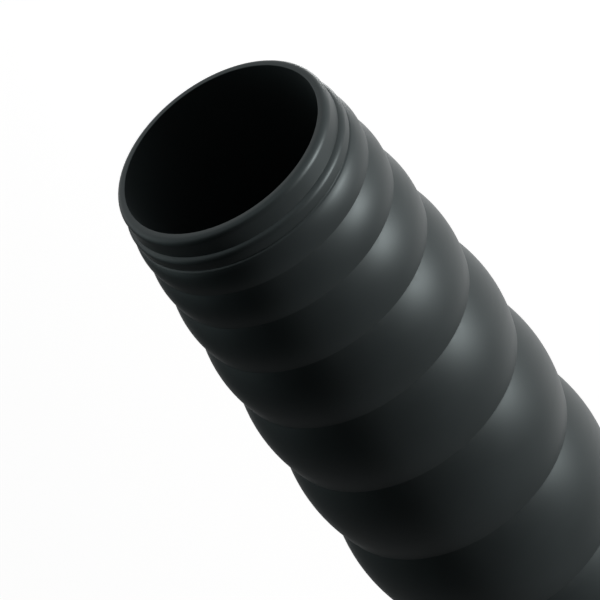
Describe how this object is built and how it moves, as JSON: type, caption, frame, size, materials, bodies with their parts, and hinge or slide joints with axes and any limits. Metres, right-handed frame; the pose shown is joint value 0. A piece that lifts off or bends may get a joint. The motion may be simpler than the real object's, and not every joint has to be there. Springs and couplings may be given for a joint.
{
  "type": "vacuum hose",
  "caption": "Short flexible vacuum hose: a wall of bulging rings that grow longer towards the middle, a smooth-bored swivel cuff at the mouth and a fixed cuff at the tail.",
  "frame": {"origin": "centre of the tail cuff's flat end face, on which the hose stands", "axes": "+Z along the bore towards the swivel mouth; the hose bends in the XZ plane"},
  "size_m": [0.0538, 0.0538, 0.319],
  "materials": {
    "cuff_plastic": "satin black, moulded",
    "wall_rubber": "satin black, smooth",
    "hoop_steel": "drawn wire",
    "snap_steel": "plain stainless",
    "seal_rubber": "soft black",
    "washer_plastic": "natural, low friction",
    "adaptor_plastic": "dark grey, moulded"
  },
  "bodies": {
    "tail_end": {"tail_cuff": "cuff_plastic", "ring_15": "wall_rubber", "ring_16": "wall_rubber", "ring_17": "wall_rubber", "ring_18": "wall_rubber", "hoop_13": "hoop_steel"},
    "link_14": {"ring_14": "wall_rubber", "hoop_12": "hoop_steel"},
    "link_13": {"ring_13": "wall_rubber", "hoop_11": "hoop_steel"},
    "link_12": {"ring_12": "wall_rubber", "hoop_10": "hoop_steel"},
    "link_11": {"ring_11": "wall_rubber", "hoop_09": "hoop_steel"},
    "link_10": {"ring_10": "wall_rubber", "hoop_08": "hoop_steel"},
    "link_09": {"ring_09": "wall_rubber", "hoop_07": "hoop_steel"},
    "link_08": {"ring_08": "wall_rubber", "hoop_06": "hoop_steel"},
    "link_07": {"ring_07": "wall_rubber", "hoop_05": "hoop_steel"},
    "link_06": {"ring_06": "wall_rubber", "hoop_04": "hoop_steel"},
    "link_05": {"ring_05": "wall_rubber", "hoop_03": "hoop_steel"},
    "link_04": {"ring_04": "wall_rubber", "hoop_02": "hoop_steel"},
    "mouth_end": {"mouth_adaptor": "adaptor_plastic", "thrust_washer": "washer_plastic", "seal_ring_front": "seal_rubber", "seal_ring_rear": "seal_rubber", "ring_01": "wall_rubber", "ring_02": "wall_rubber", "ring_03": "wall_rubber", "hoop_01": "hoop_steel"},
    "swivel_cuff": {"mouth_cuff": "cuff_plastic", "snap_ring": "snap_steel"}
  },
  "joints": [
    {"name": "bend_15", "type": "hinge", "parent": "tail_end", "child": "link_14", "pos_m": [0, 0, 0.0418], "axis": [0, 1, 0], "range_deg": [-4.71, 4.71], "stiffness_Nm_per_rad": 35.7, "deforming": ["ring_15"]},
    {"name": "bend_14", "type": "hinge", "parent": "link_14", "child": "link_13", "pos_m": [0, 0, 0.05908], "axis": [0, 1, 0], "range_deg": [-5.72, 5.72], "stiffness_Nm_per_rad": 29.4, "deforming": ["ring_14"]},
    {"name": "bend_13", "type": "hinge", "parent": "link_13", "child": "link_12", "pos_m": [0, 0, 0.07932], "axis": [0, 1, 0], "range_deg": [-6.5, 6.5], "stiffness_Nm_per_rad": 25.8, "deforming": ["ring_13"]},
    {"name": "bend_12", "type": "hinge", "parent": "link_12", "child": "link_11", "pos_m": [0, 0, 0.10158], "axis": [0, 1, 0], "range_deg": [-6.94, 6.94], "stiffness_Nm_per_rad": 24.2, "deforming": ["ring_12"]},
    {"name": "bend_11", "type": "hinge", "parent": "link_11", "child": "link_10", "pos_m": [0, 0, 0.12468], "axis": [0, 1, 0], "range_deg": [-7, 7], "stiffness_Nm_per_rad": 24, "deforming": ["ring_11"]},
    {"name": "bend_10", "type": "hinge", "parent": "link_10", "child": "link_09", "pos_m": [0, 0, 0.14788], "axis": [0, 1, 0], "range_deg": [-7, 7], "stiffness_Nm_per_rad": 24, "deforming": ["ring_10"]},
    {"name": "bend_09", "type": "hinge", "parent": "link_09", "child": "link_08", "pos_m": [0, 0, 0.17108], "axis": [0, 1, 0], "range_deg": [-7, 7], "stiffness_Nm_per_rad": 24, "deforming": ["ring_09"]},
    {"name": "bend_08", "type": "hinge", "parent": "link_08", "child": "link_07", "pos_m": [0, 0, 0.19428], "axis": [0, 1, 0], "range_deg": [-7, 7], "stiffness_Nm_per_rad": 24, "deforming": ["ring_08"]},
    {"name": "bend_07", "type": "hinge", "parent": "link_07", "child": "link_06", "pos_m": [0, 0, 0.21737], "axis": [0, 1, 0], "range_deg": [-6.94, 6.94], "stiffness_Nm_per_rad": 24.2, "deforming": ["ring_07"]},
    {"name": "bend_06", "type": "hinge", "parent": "link_06", "child": "link_05", "pos_m": [0, 0, 0.23963], "axis": [0, 1, 0], "range_deg": [-6.5, 6.5], "stiffness_Nm_per_rad": 25.8, "deforming": ["ring_06"]},
    {"name": "bend_05", "type": "hinge", "parent": "link_05", "child": "link_04", "pos_m": [0, 0, 0.25988], "axis": [0, 1, 0], "range_deg": [-5.72, 5.72], "stiffness_Nm_per_rad": 29.4, "deforming": ["ring_05"]},
    {"name": "bend_04", "type": "hinge", "parent": "link_04", "child": "mouth_end", "pos_m": [0, 0, 0.27715], "axis": [0, 1, 0], "range_deg": [-4.71, 4.71], "stiffness_Nm_per_rad": 35.7, "deforming": ["ring_04"]},
    {"name": "cuff_swivel", "type": "hinge", "parent": "mouth_end", "child": "swivel_cuff", "pos_m": [0, 0, 0.31186], "axis": [0, 0, 1], "continuous": true}
  ],
  "couplings": [
    {"joint": "bend_15", "follows": "bend_09", "ratio": 0.672},
    {"joint": "bend_14", "follows": "bend_09", "ratio": 0.817},
    {"joint": "bend_13", "follows": "bend_09", "ratio": 0.929},
    {"joint": "bend_12", "follows": "bend_09", "ratio": 0.991},
    {"joint": "bend_11", "follows": "bend_09", "ratio": 1},
    {"joint": "bend_10", "follows": "bend_09", "ratio": 1},
    {"joint": "bend_08", "follows": "bend_09", "ratio": 1},
    {"joint": "bend_07", "follows": "bend_09", "ratio": 0.991},
    {"joint": "bend_06", "follows": "bend_09", "ratio": 0.929},
    {"joint": "bend_05", "follows": "bend_09", "ratio": 0.817},
    {"joint": "bend_04", "follows": "bend_09", "ratio": 0.672}
  ]
}
